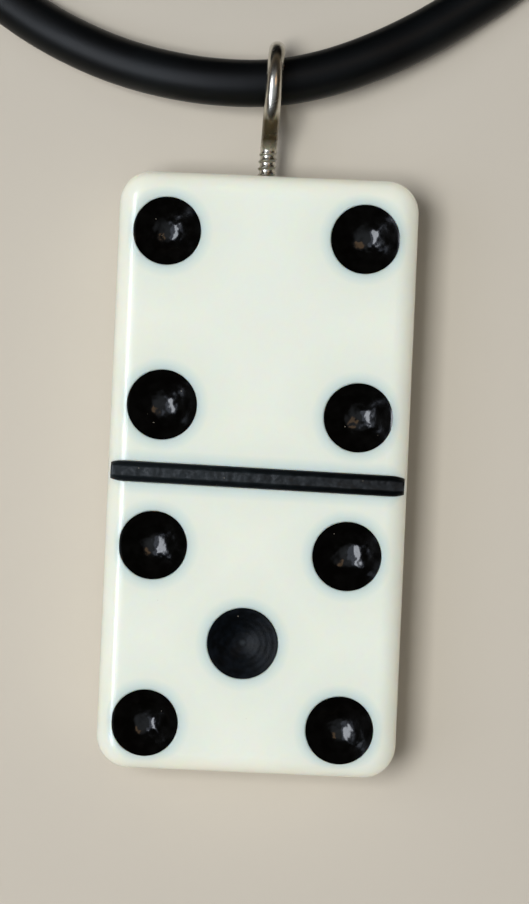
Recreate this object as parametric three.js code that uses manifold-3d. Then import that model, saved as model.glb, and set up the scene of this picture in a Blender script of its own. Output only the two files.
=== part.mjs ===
// Domino tile pendant: a drilled and painted 4-5 domino with a screw eye in its top end, on a
// rubber cord with an end cap on each end and a lobster clasp. Millimetres, +Z up.
//
// The tile lies on its back. The origin is the centre of its back face, +X runs across the tile,
// +Y along it to the screw eye, and +Z comes out of the face with the pips.

import * as THREE from "three";
import { mergeVertices } from "three/addons/utils/BufferGeometryUtils.js";
import Module from "manifold-3d";

const wasm = await Module();
wasm.setup();

// ---------------------------------------------------------------- driving dimensions

const FIT = 0.03; // between paint and the tile it lies on
const CLEAR = 0.3; // between the cord's solids and what they pass

const tile = { width: 25, length: 49.9, thickness: 10, corner: 2.7, edge: 1.8 };

const pip = { radius: 2.94, depth: 1.6, curve: 1.8, film: 0.2, pool: 0.15 };
const grid = { across: 8.15, outer: 7.35, middle: 13.15, shiftX: -0.25, shiftY: -0.6 };

// The name of each pip, its column and row on the grid, how far the drill wandered from it, and how
// much wider or narrower than the rest it was cut.
const pips = [
  { name: "pip_upper_1", column: -1, half: 1, row: 1, wander: [0.0, 0.0], widen: -0.05 },
  { name: "pip_upper_2", column: 1, half: 1, row: 1, wander: [0.2, 0.0], widen: 0 },
  { name: "pip_upper_3", column: -1, half: 1, row: -1, wander: [0.2, 0.25], widen: 0.04 },
  { name: "pip_upper_4", column: 1, half: 1, row: -1, wander: [0.25, -0.15], widen: 0 },
  { name: "pip_lower_1", column: -1, half: -1, row: 1, wander: [-0.05, 0.15], widen: -0.03 },
  { name: "pip_lower_2", column: 1, half: -1, row: 1, wander: [-0.2, -0.1], widen: 0 },
  { name: "pip_lower_3", column: 0, half: -1, row: 0, wander: [-0.4, -0.35], widen: 0.08 },
  { name: "pip_lower_4", column: -1, half: -1, row: -1, wander: [-0.1, 0.0], widen: -0.04 },
  { name: "pip_lower_5", column: 1, half: -1, row: -1, wander: [-0.2, 0.05], widen: 0.02 },
];

const groove = { top: 1.76, floor: 1.3, depth: 1.0, film: 0.2, y: -0.34, turn: -0.84 };

const eye = { x: -0.38, outer: 4.25, wire: 0.7, y: 32.35, slit: 14, lean: 2.5 };
const thread = { crest: 0.8, root: 0.64, pitch: 0.6, embedded: 7, tip: 1.4 };

const cord = { radius: 2, sides: 12 };
const coil = { x: -2.5, y: 68, turn: 23, layer: 4.05 };

const cap = { radius: 2.75, bore: 2.3, length: 7, end: 0.8, loop: 1.5, wire: 0.42 };
const capPlace = { turn: 138, lean: 8, r: 16.8, z: 2.75 };

const link = { radius: 2.25, wire: 0.4, z: 2.7 };
const claspTurn = { ring: -30, body: -75, endRing: 155 };

const clasp = {
  thickness: 3,
  z: 1.5,
  eye: 1.9,
  eyeHole: 1.1,
  eyeThickness: 1.2,
  centre: 6,
  halfLength: 4.6,
  halfWidth: 3.2,
  holeLength: 2.9,
  holeWidth: 1.8,
  pivot: [1.95, -1.25],
  boss: 1.15,
  slot: 2.0,
  arm: 2.2,
};
const rivet = { radius: 0.45, hole: 0.52 };

const middle = tile.thickness / 2;
const degrees = Math.PI / 180;

// ---------------------------------------------------------------- materials

const finish = (color, roughness, metalness) =>
  new THREE.MeshStandardMaterial({ color, roughness, metalness });

const ivory = finish(0xe6ebe0, 0.22, 0);
const blackPaint = finish(0x0b0c0f, 0.3, 0);
const nickel = finish(0xb9b6ae, 0.25, 1);
const rubber = finish(0x14161a, 0.55, 0);
const steel = finish(0xc4c6c8, 0.2, 1);

// ---------------------------------------------------------------- shape helpers

// A closed three.js geometry as a solid for cutting and joining.
function solid(geometry) {
  const bare = geometry.clone();
  bare.deleteAttribute("normal");
  bare.deleteAttribute("uv");
  const merged = mergeVertices(bare, 1e-4);
  return new wasm.Manifold(
    new wasm.Mesh({
      numProp: 3,
      vertProperties: new Float32Array(merged.attributes.position.array),
      triVerts: new Uint32Array(merged.index.array),
    }),
  );
}

// A solid back as a three.js geometry.
function geometryOf(body) {
  const mesh = body.getMesh();
  return new THREE.BufferGeometry()
    .setAttribute("position", new THREE.BufferAttribute(new Float32Array(mesh.vertProperties), 3))
    .setIndex(new THREE.BufferAttribute(new Uint32Array(mesh.triVerts), 1));
}

// A lathe turned about +Z from [radius, height] pairs that start and end on the axis.
function turned(profile, segments) {
  const points = profile.map(([r, z]) => new THREE.Vector2(r, z));
  return new THREE.LatheGeometry(points, segments).rotateX(Math.PI / 2);
}

// A round bar along +Z from z = low to z = high.
const bar = (radius, low, high, segments = 16) =>
  new THREE.CylinderGeometry(radius, radius, high - low, segments)
    .rotateX(Math.PI / 2)
    .translate(0, 0, (low + high) / 2);

// A flat shape given thickness, centred on z = 0.
const plate = (shape, thickness, curveSegments = 8) =>
  new THREE.ExtrudeGeometry(shape, {
    depth: thickness,
    bevelEnabled: false,
    curveSegments,
  }).translate(0, 0, -thickness / 2);

// A round tube with closed ends along a curve.
function tube(curve, radius, sides, steps) {
  const section = new THREE.Shape();
  for (let k = 0; k < sides; k++) {
    const a = (2 * Math.PI * k) / sides;
    const [x, y] = [radius * Math.cos(a), radius * Math.sin(a)];
    if (k === 0) section.moveTo(x, y);
    else section.lineTo(x, y);
  }
  section.closePath();
  return new THREE.ExtrudeGeometry(section, { steps, extrudePath: curve, bevelEnabled: false });
}

// A ring of wire lying flat about the origin.
const wireRing = (radius, wire, around = 22, sides = 8) =>
  new THREE.TorusGeometry(radius, wire, sides, around);

// A named part, added to the group.
const pendant = new THREE.Group();

function add(name, geometry, material, at = [0, 0, 0], turnZ = 0) {
  const mesh = new THREE.Mesh(geometry, material);
  mesh.name = name;
  mesh.position.set(...at);
  mesh.rotation.z = turnZ * degrees;
  pendant.add(mesh);
  return mesh;
}

// ---------------------------------------------------------------- the tile

// The blank: a flat block with rounded corners, and every long edge rounded over.
function tileBlank() {
  const halfX = tile.width / 2 - tile.edge;
  const halfY = tile.length / 2 - tile.edge;
  const r = tile.corner - tile.edge;
  const outline = new THREE.Shape();
  outline.moveTo(-halfX + r, -halfY);
  outline.absarc(halfX - r, -halfY + r, r, -Math.PI / 2, 0);
  outline.absarc(halfX - r, halfY - r, r, 0, Math.PI / 2);
  outline.absarc(-halfX + r, halfY - r, r, Math.PI / 2, Math.PI);
  outline.absarc(-halfX + r, -halfY + r, r, Math.PI, 1.5 * Math.PI);
  return solid(
    new THREE.ExtrudeGeometry(outline, {
      depth: tile.thickness - 2 * tile.edge,
      bevelSize: tile.edge,
      bevelThickness: tile.edge,
      bevelSegments: 5,
      curveSegments: 6,
    }).translate(0, 0, tile.edge),
  );
}

// Points down a drilled bowl, from its centre to its rim: z is 0 at the rim.
function bowl(radius, depth, steps = 4) {
  const points = [];
  for (let k = 0; k <= steps; k++) {
    const share = k / steps;
    points.push([radius * share, -depth * (1 - share ** pip.curve)]);
  }
  return points;
}

function pipCentre({ column, half, row, wander }) {
  const y = half * grid.middle + row * grid.outer;
  return [
    column * grid.across + grid.shiftX + wander[0],
    y + grid.shiftY + wander[1],
    tile.thickness,
  ];
}

// The cutter that drills a pip, tall enough to clear the face.
function pipCutter({ widen }) {
  const radius = pip.radius + widen;
  return turned([...bowl(radius, pip.depth), [radius, 1], [0, 1]], 24);
}

// The paint in a pip: a film up the wall that pools at the bottom.
function pipPaint({ widen }) {
  const radius = pip.radius + widen - FIT;
  const outside = bowl(radius, pip.depth - FIT);
  const inside = bowl(radius - pip.film, pip.depth - FIT - pip.film - pip.pool);
  const lip = [radius - pip.film, 0];
  return turned([...outside, lip, ...inside.reverse().slice(1)], 24);
}

// The groove across the middle: its section is a shallow trapezium, run past both sides.
function grooveBar(shrink) {
  const top = groove.top / 2 - shrink;
  const floor = groove.floor / 2 - shrink;
  const low = -groove.depth + shrink;
  const section = new THREE.Shape();
  section.moveTo(-top, 0.5);
  section.lineTo(-top, 0);
  section.lineTo(-floor, low);
  section.lineTo(floor, low);
  section.lineTo(top, 0);
  section.lineTo(top, 0.5);
  section.closePath();
  const along = new THREE.ExtrudeGeometry(section, {
    depth: tile.width + 4,
    bevelEnabled: false,
  }).translate(0, 0, -tile.width / 2 - 2);
  return solid(
    along
      .rotateX(Math.PI / 2)
      .rotateZ(Math.PI / 2)
      .rotateZ(groove.turn * degrees)
      .translate(0, groove.y, tile.thickness),
  );
}

const blank = tileBlank();
const pilotHole = solid(
  bar(thread.crest + 0.12, 0, thread.embedded + 0.8)
    .rotateX(Math.PI / 2)
    .translate(0, tile.length / 2 + 0.3, 0),
);
const leaning = (shape) =>
  shape
    .translate([0, -tile.length / 2, 0])
    .rotate([0, 0, -eye.lean])
    .translate([eye.x, tile.length / 2, middle]);

let body = blank.subtract(grooveBar(0)).subtract(leaning(pilotHole));
for (const each of pips) {
  body = body.subtract(solid(pipCutter(each)).translate(pipCentre(each)));
}
add("tile_body", geometryOf(body), ivory);

// Paint is trimmed where a pip or the groove runs over the rounded edge.
const trim = blank.translate([0, 0, -FIT]);
for (const each of pips) {
  const paint = solid(pipPaint(each)).translate(pipCentre(each)).intersect(trim);
  add(each.name, geometryOf(paint), blackPaint);
}
const dividerPaint = grooveBar(FIT)
  .intersect(trim)
  .subtract(grooveBar(FIT + groove.film));
add("divider_paint", geometryOf(dividerPaint), blackPaint);

// ---------------------------------------------------------------- the screw eye

// A pointed shank with a helical thread, along +Z with its tip at z = 0: rings of points whose
// radius follows the thread.
function threadedShank(length) {
  const around = 12;
  const rise = thread.pitch / 4;
  const rings = Math.round(length / rise);
  const points = [new THREE.Vector3(0, 0, 0)];
  for (let j = 1; j <= rings; j++) {
    const z = (j * length) / rings;
    const taper = Math.min(1, 0.25 + (0.75 * z) / thread.tip);
    for (let i = 0; i < around; i++) {
      const share = i / around;
      const phase = (((z / thread.pitch - share) % 1) + 1) % 1;
      const crest = Math.max(0, 1 - 3 * Math.abs(phase - 0.5));
      const r = taper * (thread.root + crest * (thread.crest - thread.root));
      const a = 2 * Math.PI * share;
      points.push(new THREE.Vector3(r * Math.cos(a), r * Math.sin(a), z));
    }
  }
  points.push(new THREE.Vector3(0, 0, length));
  const last = points.length - 1;
  const at = (j, i) => 1 + j * around + (i % around);
  const faces = [];
  for (let i = 0; i < around; i++) {
    faces.push(0, at(0, i + 1), at(0, i));
    faces.push(last, at(rings - 1, i), at(rings - 1, i + 1));
    for (let j = 0; j + 1 < rings; j++) {
      faces.push(at(j, i), at(j, i + 1), at(j + 1, i + 1));
      faces.push(at(j, i), at(j + 1, i + 1), at(j + 1, i));
    }
  }
  return new THREE.BufferGeometry().setFromPoints(points).setIndex(faces);
}

// The loop of wire, upright in the plane of the shank: it leaves the neck upwards, goes right round
// and stops just short of the neck, on the underside.
class WireArc extends THREE.Curve {
  constructor(radius, from, to) {
    super();
    Object.assign(this, { radius, from, to });
  }
  getPoint(t, target = new THREE.Vector3()) {
    const a = (this.from + (this.to - this.from) * t) * degrees;
    return target.set(0, this.radius * Math.cos(a), this.radius * Math.sin(a));
  }
}

function screwEye() {
  const ringRadius = eye.outer - eye.wire;
  const neckTop = eye.y - ringRadius + 0.15;
  const neckStart = tile.length / 2 + 2.9;
  const tip = tile.length / 2 - thread.embedded;
  const loop = solid(tube(new WireArc(ringRadius, 180, eye.slit - 180), eye.wire, 12, 30));
  const neck = solid(bar(eye.wire, neckStart, neckTop).rotateX(-Math.PI / 2));
  const shank = solid(threadedShank(neckStart + 0.3 - tip).rotateX(-Math.PI / 2));
  return leaning(loop.translate([0, eye.y, 0]).add(neck).add(shank.translate([0, tip, 0])));
}
add("screw_eye", geometryOf(screwEye()), nickel);

// ---------------------------------------------------------------- the rubber cord

// A place on the coil: turn is in degrees anticlockwise from its lowest point in plan.
function onCoil(turn, r, z) {
  const a = turn * degrees;
  return [coil.x + r * Math.sin(a), coil.y - r * Math.cos(a), z];
}

const curveThrough = (points) =>
  new THREE.CatmullRomCurve3(
    points.map((p) => new THREE.Vector3(...p)),
    false,
    "centripetal",
  );

// The stretch that lies in front of the coil: over the floor on the left, up through the eye and
// down again on the right. The left end climbs on to the coil's upper layer.
const runRoute = [
  [-29.9, 68.0, 6.1],
  [-29.9, 60.5, 5.5],
  [-29.8, 52.5, 4.1],
  [-28.1, 45.0, 2.6],
  [-25.3, 41.2, 2.05],
  [-22.0, 38.7, 2.05],
  [-18.5, 36.7, 2.3],
  [-14.0, 34.8, 3.1],
  [-9.5, 33.6, 3.9],
  [-4.8, 33.0, 4.6],
  [-0.2, 33.1, 4.9],
  [4.2, 34.1, 4.6],
  [8.6, 35.9, 4.0],
  [12.6, 38.1, 3.2],
  [16.0, 40.4, 2.5],
  [19.0, 42.6, 2.05],
  [22.0, 45.5, 2.05],
  [24.1, 49.5, 2.05],
  [24.9, 54.5, 2.05],
  [24.9, 61.5, 2.05],
  [24.9, 68.0, 2.05],
];
add("cord_run", tube(curveThrough(runRoute), cord.radius, cord.sides, 40), rubber);

// The coiled length: a ring two cords high.
function coilRing() {
  const inner = coil.turn - cord.radius - 0.1;
  const outer = coil.turn + cord.radius + 0.1;
  const top = coil.layer + 2 * cord.radius;
  const round = 0.9;
  const profile = [
    [inner + round, 0],
    [outer - round, 0],
    [outer, round],
    [outer, top - round],
    [outer - round, top],
    [inner + round, top],
    [inner, top - round],
    [inner, round],
    [inner + round, 0],
  ];
  return turned(profile, 40);
}
add("cord_coil", coilRing(), rubber, [coil.x, coil.y, 0]);

// An end cap's axis in plan: side is 1 for the right-hand end and -1 for the left.
function capAxis(side) {
  const turn = side * capPlace.turn;
  const heading = side * (capPlace.turn + capPlace.lean) * degrees;
  const along = new THREE.Vector3(side * Math.cos(heading), Math.sin(side * heading), 0);
  const [x, y] = onCoil(turn, capPlace.r);
  const centre = new THREE.Vector3(x, y, capPlace.z);
  const mouth = centre.clone().addScaledVector(along, -cap.length / 2);
  const loop = centre.clone().addScaledVector(along, cap.length / 2 + cap.loop);
  return { along, mouth, loop };
}

// The last of the cord on each side: along the inside of the coil and into its end cap.
function tailRoute(side) {
  const { along, mouth } = capAxis(side);
  const seat = mouth.clone().addScaledVector(along, cap.length - cap.end - CLEAR);
  const inner = coil.turn - cord.radius - 0.1 - CLEAR - cord.radius;
  return [
    onCoil(side * 82, inner, cord.radius + 0.05),
    onCoil(side * 92, inner, cord.radius + 0.05),
    onCoil(side * 102, inner, cord.radius + 0.1),
    onCoil(side * 112, inner - 0.3, cord.radius + 0.4),
    mouth.clone().addScaledVector(along, -1).toArray(),
    seat.toArray(),
  ];
}

// A metal cup that the cord is glued into, with a wire loop on its closed end.
function endCap() {
  const cup = turned(
    [
      [0, cap.length],
      [cap.radius - 0.6, cap.length],
      [cap.radius, cap.length - 0.6],
      [cap.radius, 0],
      [cap.bore, 0],
      [cap.bore, cap.length - cap.end],
      [0, cap.length - cap.end],
    ].reverse(),
    20,
  );
  const loop = wireRing(cap.loop, cap.wire, 16, 8).rotateY(Math.PI / 2);
  return solid(cup).add(solid(loop.translate(0, 0, cap.length + cap.loop)));
}

for (const [side, word] of [
  [-1, "left"],
  [1, "right"],
]) {
  const { along, mouth } = capAxis(side);
  const heading = Math.atan2(along.y, along.x) / degrees;
  const capGeometry = geometryOf(endCap()).rotateY(Math.PI / 2);
  add(`cord_tail_${word}`, tube(curveThrough(tailRoute(side)), cord.radius, cord.sides, 14), rubber);
  add(`end_cap_${word}`, capGeometry, steel, mouth.toArray(), heading);
}

// ---------------------------------------------------------------- the clasp

const planar = (degree) => [Math.cos(degree * degrees), Math.sin(degree * degrees)];

// A jump ring stands upright through an end cap's loop and reaches out along its heading.
const jumpRing = () => wireRing(link.radius, link.wire).rotateX(Math.PI / 2);

function ringPlace(side, heading) {
  const { loop } = capAxis(side);
  const [dx, dy] = planar(heading);
  return [loop.x + dx * link.radius, loop.y + dy * link.radius, link.z];
}
add("clasp_ring", jumpRing(), steel, ringPlace(-1, claspTurn.ring), claspTurn.ring);
add("end_ring", jumpRing(), steel, ringPlace(1, claspTurn.endRing), claspTurn.endRing);

const ellipse = (x, y, rx, ry) => new THREE.Shape().absellipse(x, y, rx, ry, 0, 2 * Math.PI);
const disc = (x, y, r) => ellipse(x, y, r, r);

function rectangle(x0, y0, x1, y1) {
  const shape = new THREE.Shape();
  shape.moveTo(x0, y0);
  shape.lineTo(x1, y0);
  shape.lineTo(x1, y1);
  shape.lineTo(x0, y1);
  shape.closePath();
  return shape;
}

const claspOval = (thickness) =>
  solid(plate(ellipse(clasp.centre, 0, clasp.halfLength, clasp.halfWidth), thickness));

const claspHole = (thickness) =>
  solid(plate(ellipse(clasp.centre + 0.3, 0, clasp.holeLength, clasp.holeWidth), thickness));

const [pivotX, pivotY] = clasp.pivot;

// The claw lies flat with its eye at the origin and its hook along +X. The lever's side is -Y.
function claspBody() {
  const tail = solid(plate(disc(0, 0, clasp.eye), clasp.eyeThickness));
  const neck = solid(plate(rectangle(0.9, -1.5, 2.6, 1.5), clasp.eyeThickness + 0.6));
  const cheeks = solid(plate(disc(pivotX + 0.15, pivotY, clasp.boss + 0.35), clasp.thickness));
  const gate = solid(plate(rectangle(3.3, -4, 8.6, -0.2), 6));
  const slot = solid(plate(rectangle(0.9, -4, 3.5, -0.05), clasp.slot));
  return claspOval(clasp.thickness)
    .add(cheeks)
    .subtract(gate)
    .add(neck)
    .add(tail)
    .subtract(claspHole(6))
    .subtract(slot)
    .subtract(solid(bar(clasp.eyeHole, -3, 3)))
    .subtract(solid(bar(rivet.hole, -3, 3).translate(pivotX, pivotY, 0)));
}

// The lever: a boss on the rivet, the curved gate that closes the claw, and a thumb tab.
function claspLever() {
  const gate = claspOval(clasp.arm)
    .subtract(claspHole(6))
    .intersect(solid(plate(rectangle(3.5, -4, 8.35, -0.4), 6)));
  const boss = solid(plate(disc(pivotX, pivotY, clasp.boss - 0.15), 0.8).translate(0, 0, 0.5));
  const root = solid(plate(rectangle(pivotX, -2.4, 3.9, -1.3), 0.8).translate(0, 0, 0.5));
  const tab = solid(plate(disc(4.1, -3.1, 0.75), clasp.arm));
  return gate
    .add(root)
    .add(tab)
    .add(boss)
    .subtract(solid(bar(rivet.hole, -3, 3).translate(pivotX, pivotY, 0)));
}

// The spring: two turns of fine wire round the rivet, beside the lever's boss.
function springWire() {
  const points = [];
  for (let k = 0; k <= 16; k++) {
    const a = (k / 8) * 2 * Math.PI;
    points.push([0.72 * Math.cos(a), 0.72 * Math.sin(a), -0.75 + 0.035 * k]);
  }
  return tube(curveThrough(points), 0.11, 6, 32).translate(pivotX, pivotY, 0);
}

const [ringX, ringY] = planar(claspTurn.ring);
const reach = link.radius + Math.sqrt(link.radius ** 2 - (link.z - clasp.z) ** 2);
const { loop: leftLoop } = capAxis(-1);
const claspPlace = [leftLoop.x + ringX * reach, leftLoop.y + ringY * reach, clasp.z];
const rivetPin = bar(rivet.radius, -clasp.thickness / 2, clasp.thickness / 2);

add("clasp_body", geometryOf(claspBody()), steel, claspPlace, claspTurn.body);
add("clasp_lever", geometryOf(claspLever()), steel, claspPlace, claspTurn.body);
add("clasp_spring", springWire(), steel, claspPlace, claspTurn.body);
add("clasp_rivet", rivetPin.translate(pivotX, pivotY, 0), steel, claspPlace, claspTurn.body);

export default pendant;
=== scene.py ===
# %% [markdown]
# # A domino worn on a cord
#
# The object is a four-five domino, 50 mm long, with a steel screw eye in its top end. A black
# rubber cord runs through the eye and ends in two metal caps, one with a lobster clasp and one with
# a ring. Each step says what a piece is, how it could be made, and why this way was chosen.

# %% Load the frame
import math

import bmesh  # noqa: E402
import bpy  # noqa: E402
from mathutils import Matrix, Vector, noise  # noqa: E402


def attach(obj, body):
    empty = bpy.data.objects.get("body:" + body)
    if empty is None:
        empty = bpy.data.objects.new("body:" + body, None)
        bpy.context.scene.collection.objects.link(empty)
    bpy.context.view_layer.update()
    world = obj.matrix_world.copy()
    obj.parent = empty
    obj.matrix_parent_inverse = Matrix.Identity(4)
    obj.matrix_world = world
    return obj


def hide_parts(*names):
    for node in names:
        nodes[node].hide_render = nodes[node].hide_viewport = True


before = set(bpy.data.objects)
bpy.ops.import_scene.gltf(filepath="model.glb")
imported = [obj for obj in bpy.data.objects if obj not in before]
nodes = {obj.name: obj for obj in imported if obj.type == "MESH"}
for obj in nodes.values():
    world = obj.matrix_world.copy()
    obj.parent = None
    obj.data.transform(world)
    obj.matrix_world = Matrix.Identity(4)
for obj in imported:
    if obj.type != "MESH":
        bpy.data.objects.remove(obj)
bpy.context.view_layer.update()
MM = 0.001
scene = bpy.context.scene

# %% [markdown]
# ## The camera
#
# The tile is seen from straight above, so the camera looks down at it from 300 mm and is turned a
# little, because the tile lies slightly askew. A long lens keeps the sides of the tile out of
# sight. The colours are judged without a film look, so the view transform is the plain one.

# %% Camera
ASKEW = 2.5
camera_data = bpy.data.cameras.new("Camera")
camera_data.lens = 139
camera = bpy.data.objects.new("Camera", camera_data)
camera.location = (0.49 * MM, 1.88 * MM, 300 * MM)
camera.rotation_euler = (0, 0, math.radians(ASKEW))
camera_data.clip_start = 0.01
scene.collection.objects.link(camera)
scene.camera = camera
scene.view_settings.view_transform = "Standard"
print("camera at", tuple(round(c, 4) for c in camera.location))

# %% [markdown]
# ## Two helpers for meshes
#
# Sizes are easier to read in millimetres, so every shape is written in them and scaled once, when
# its mesh is made. The other helpers turn whatever modifiers have done into a plain mesh, keep
# large faces looking flat beside rounded edges, and turn the faces of a closed mesh outward.

# %% Mesh helpers


def mesh_piece(name, points, faces, place=None):
    """A new object from points in millimetres."""
    mesh = bpy.data.meshes.new(name)
    mesh.from_pydata([Vector(p) for p in points], [], faces)
    if place is not None:
        mesh.transform(place)
    mesh.transform(Matrix.Scale(MM, 4))
    piece = bpy.data.objects.new(name, mesh)
    scene.collection.objects.link(piece)
    return piece


def settle(piece, sharp=None):
    """Applies the modifiers; sharp is the angle in degrees past which an edge stays crisp."""
    graph = bpy.context.evaluated_depsgraph_get()
    mesh = bpy.data.meshes.new_from_object(piece.evaluated_get(graph))
    piece.modifiers.clear()
    piece.data = mesh
    mesh.name = piece.name
    if sharp is not None:
        mesh.shade_smooth()
        mesh.set_sharp_from_angle(angle=math.radians(sharp))
    return piece


def flat_faces(piece):
    """Gives large faces the say over the shading beside their rounded edges."""
    weighted = piece.modifiers.new("Flat faces", "WEIGHTED_NORMAL")
    weighted.keep_sharp = True
    return settle(piece)


def faces_out(piece):
    """Turns every face of a closed mesh outward."""
    work = bmesh.new()
    work.from_mesh(piece.data)
    bmesh.ops.recalc_face_normals(work, faces=work.faces)
    work.to_mesh(piece.data)
    work.free()


print("four mesh helpers")

# %% [markdown]
# ## The cord's way
#
# The cord is one length of rubber, 4 mm thick and about 430 mm long. A curve with a bevel is the
# simplest honest way to make it: its line is the middle of the cord, so its length can be measured.
# The line passes through a given list of points across the front, and the rest is wound by
# rule: once round on the floor from the right, once round on top of that from the left, and then
# both ends come in to their caps.

# %% The coil and the two end caps' places
CORD_RADIUS = 2.0
COIL_X, COIL_Y, COIL_TURN = -2.5, 68.0, 23.0
CAP_LENGTH, CAP_END, CAP_LOOP = 7.0, 0.8, 1.5
CAP_TURN, CAP_LEAN, CAP_R, CAP_Z = 138.0, 8.0, 16.8, 2.75
CAP_GAP = 0.3
FLOOR_Z, LAYER = 2.05, 4.05
ASIDE = 4.4


def on_coil(turn, r, z):
    """A place on the coil; turn is anticlockwise from its lowest point in plan."""
    a = math.radians(turn)
    return Vector((COIL_X + r * math.sin(a), COIL_Y - r * math.cos(a), z))


def cap_axis(side):
    """Where a cap's mouth and loop are, and its direction; side is 1 for the right-hand end."""
    heading = math.radians(side * (CAP_TURN + CAP_LEAN))
    along = Vector((side * math.cos(heading), side * math.sin(heading), 0))
    centre = on_coil(side * CAP_TURN, CAP_R, CAP_Z)
    return (
        centre - along * CAP_LENGTH / 2,
        centre + along * (CAP_LENGTH / 2 + CAP_LOOP),
        along,
    )


for side in (-1, 1):
    mouth, loop, along = cap_axis(side)
    print("cap", side, "mouth", mouth[:], "loop", loop[:])

# %% The points of the route
RUN_ROUTE = [
    (-29.9, 68.0, 6.1), (-29.9, 60.5, 5.5), (-29.8, 52.5, 4.1), (-28.1, 45.0, 2.6),
    (-25.3, 41.2, 2.05), (-22.0, 38.7, 2.05), (-18.5, 36.7, 2.3), (-14.0, 34.8, 3.1),
    (-9.5, 33.6, 3.9), (-4.8, 33.0, 4.6), (-0.2, 33.1, 4.9), (4.2, 34.1, 4.6),
    (8.6, 35.9, 4.0), (12.6, 38.1, 3.2), (16.0, 40.4, 2.5), (19.0, 42.6, 2.05),
    (22.0, 45.5, 2.05), (24.1, 49.5, 2.05), (24.9, 54.5, 2.05), (24.9, 61.5, 2.05),
    (24.9, 68.0, 2.05),
]


def eased(t):
    """Goes smoothly from 0 to 1 as t does, and stays level past them."""
    t = min(1.0, max(0.0, t))
    return t * t * (3 - 2 * t)


def wound(side):
    """The points from the end of the run on one side, round the coil and into the cap."""
    points = []
    for turn in range(100, 450, 10):
        # it comes in from the run over 50 degrees, and leaves its turn over the last 46
        r = COIL_TURN + ASIDE * (1 - eased((turn - 90) / 50))
        leaving = eased((turn - 396) / 46)
        if side < 0:
            # the upper turn dips a little at the far side, and rolls off the lower one
            dip = 0.8 * math.exp(-(((turn - 270) / 25) ** 2))
            over = math.radians(90 * leaving)
            r -= LAYER * math.sin(over)
            z = FLOOR_Z + LAYER * math.cos(over) - dip
        else:
            r -= ASIDE * leaving
            z = FLOOR_Z
        points.append(on_coil(side * turn, r, z))
    mouth, _, along = cap_axis(side)
    inner = COIL_TURN - ASIDE
    points += [
        on_coil(side * 92, inner, FLOOR_Z),
        on_coil(side * 102, inner, FLOOR_Z + 0.05),
        on_coil(side * 112, inner - 0.3, FLOOR_Z + 0.35),
        mouth - along,
        mouth + along * (CAP_LENGTH - CAP_END - CAP_GAP),
    ]
    return points


print("wound length has", len(wound(1)), "points on each side")

# %% A smooth line through them


def smooth_line(points, step):
    """Points about a step apart on a centripetal Catmull-Rom curve through the given ones."""
    ends = [2 * points[0] - points[1], *points, 2 * points[-1] - points[-2]]
    line = [points[0]]
    for a, b, c, d in zip(ends, ends[1:], ends[2:], ends[3:]):
        t1 = math.sqrt((b - a).length)
        t2 = t1 + math.sqrt((c - b).length)
        t3 = t2 + math.sqrt((d - c).length)
        pieces = max(2, round((c - b).length / step))
        for k in range(1, pieces + 1):
            t = t1 + (t2 - t1) * k / pieces
            ab = a + (b - a) * (t / t1)
            bc = b + (c - b) * ((t - t1) / (t2 - t1))
            cd = c + (d - c) * ((t - t2) / (t3 - t2))
            abc = ab + (bc - ab) * (t / t2)
            bcd = bc + (cd - bc) * ((t - t1) / (t3 - t1))
            line.append(abc + (bcd - abc) * ((t - t1) / (t2 - t1)))
    return line


LINE_STEP = 0.9
route = [*reversed(wound(-1)), *map(Vector, RUN_ROUTE), *wound(1)]
cord_line = smooth_line(route, LINE_STEP)

# %% The cord
cord_curve = bpy.data.curves.new("rubber_cord", "CURVE")
cord_curve.dimensions = "3D"
cord_curve.bevel_depth = CORD_RADIUS * MM
cord_curve.bevel_resolution = 7
cord_curve.use_fill_caps = True
spline = cord_curve.splines.new("POLY")
spline.points.add(len(cord_line) - 1)
for point, place in zip(spline.points, cord_line):
    point.co = (*(place * MM), 1)
spline.use_smooth = True
rubber_cord = bpy.data.objects.new("rubber_cord", cord_curve)
scene.collection.objects.link(rubber_cord)
print("cord of", len(spline.points), "curve points")

# %% [markdown]
# ## The floor and the light
#
# Everything is lit from the left. A soft key light, almost overhead, throws the short shadow on the
# right. It is hidden from reflections, because a tall window further to the left is what the gloss
# shows: as a long streak down the tile's rounded side and a narrow one in each pip. The room itself
# is a dim dome, brightest overhead, so that black enamel stays black where it faces the walls. Four
# low, warm lights that only matt surfaces see stand for what the table throws back at the sides.

# %% Colours and nodes


def linear(hex_colour):
    """An sRGB colour such as #C6BEB1 as the linear numbers that Blender works in."""
    parts = [int(hex_colour[k : k + 2], 16) / 255 for k in (1, 3, 5)]
    line = [c / 12.92 if c <= 0.04045 else ((c + 0.055) / 1.055) ** 2.4 for c in parts]
    return (*line, 1.0)


def add(tree, kind, inputs=None, **settings):
    """Adds a node; an input is a value, or a node or socket to link from."""
    node = tree.nodes.new(kind)
    for key, value in settings.items():
        setattr(node, key, value)
    for socket, value in (inputs or {}).items():
        if isinstance(value, bpy.types.Node):
            value = value.outputs[0]
        if isinstance(value, bpy.types.NodeSocket):
            tree.links.new(value, node.inputs[socket])
        else:
            node.inputs[socket].default_value = value
    return node


print("ivory #EDF2E8 is", [round(c, 3) for c in linear("#EDF2E8")], "in linear numbers")

# %% Lights
# Each has its tilt, its distance and size in millimetres, its power in watts and its colour.


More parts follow.
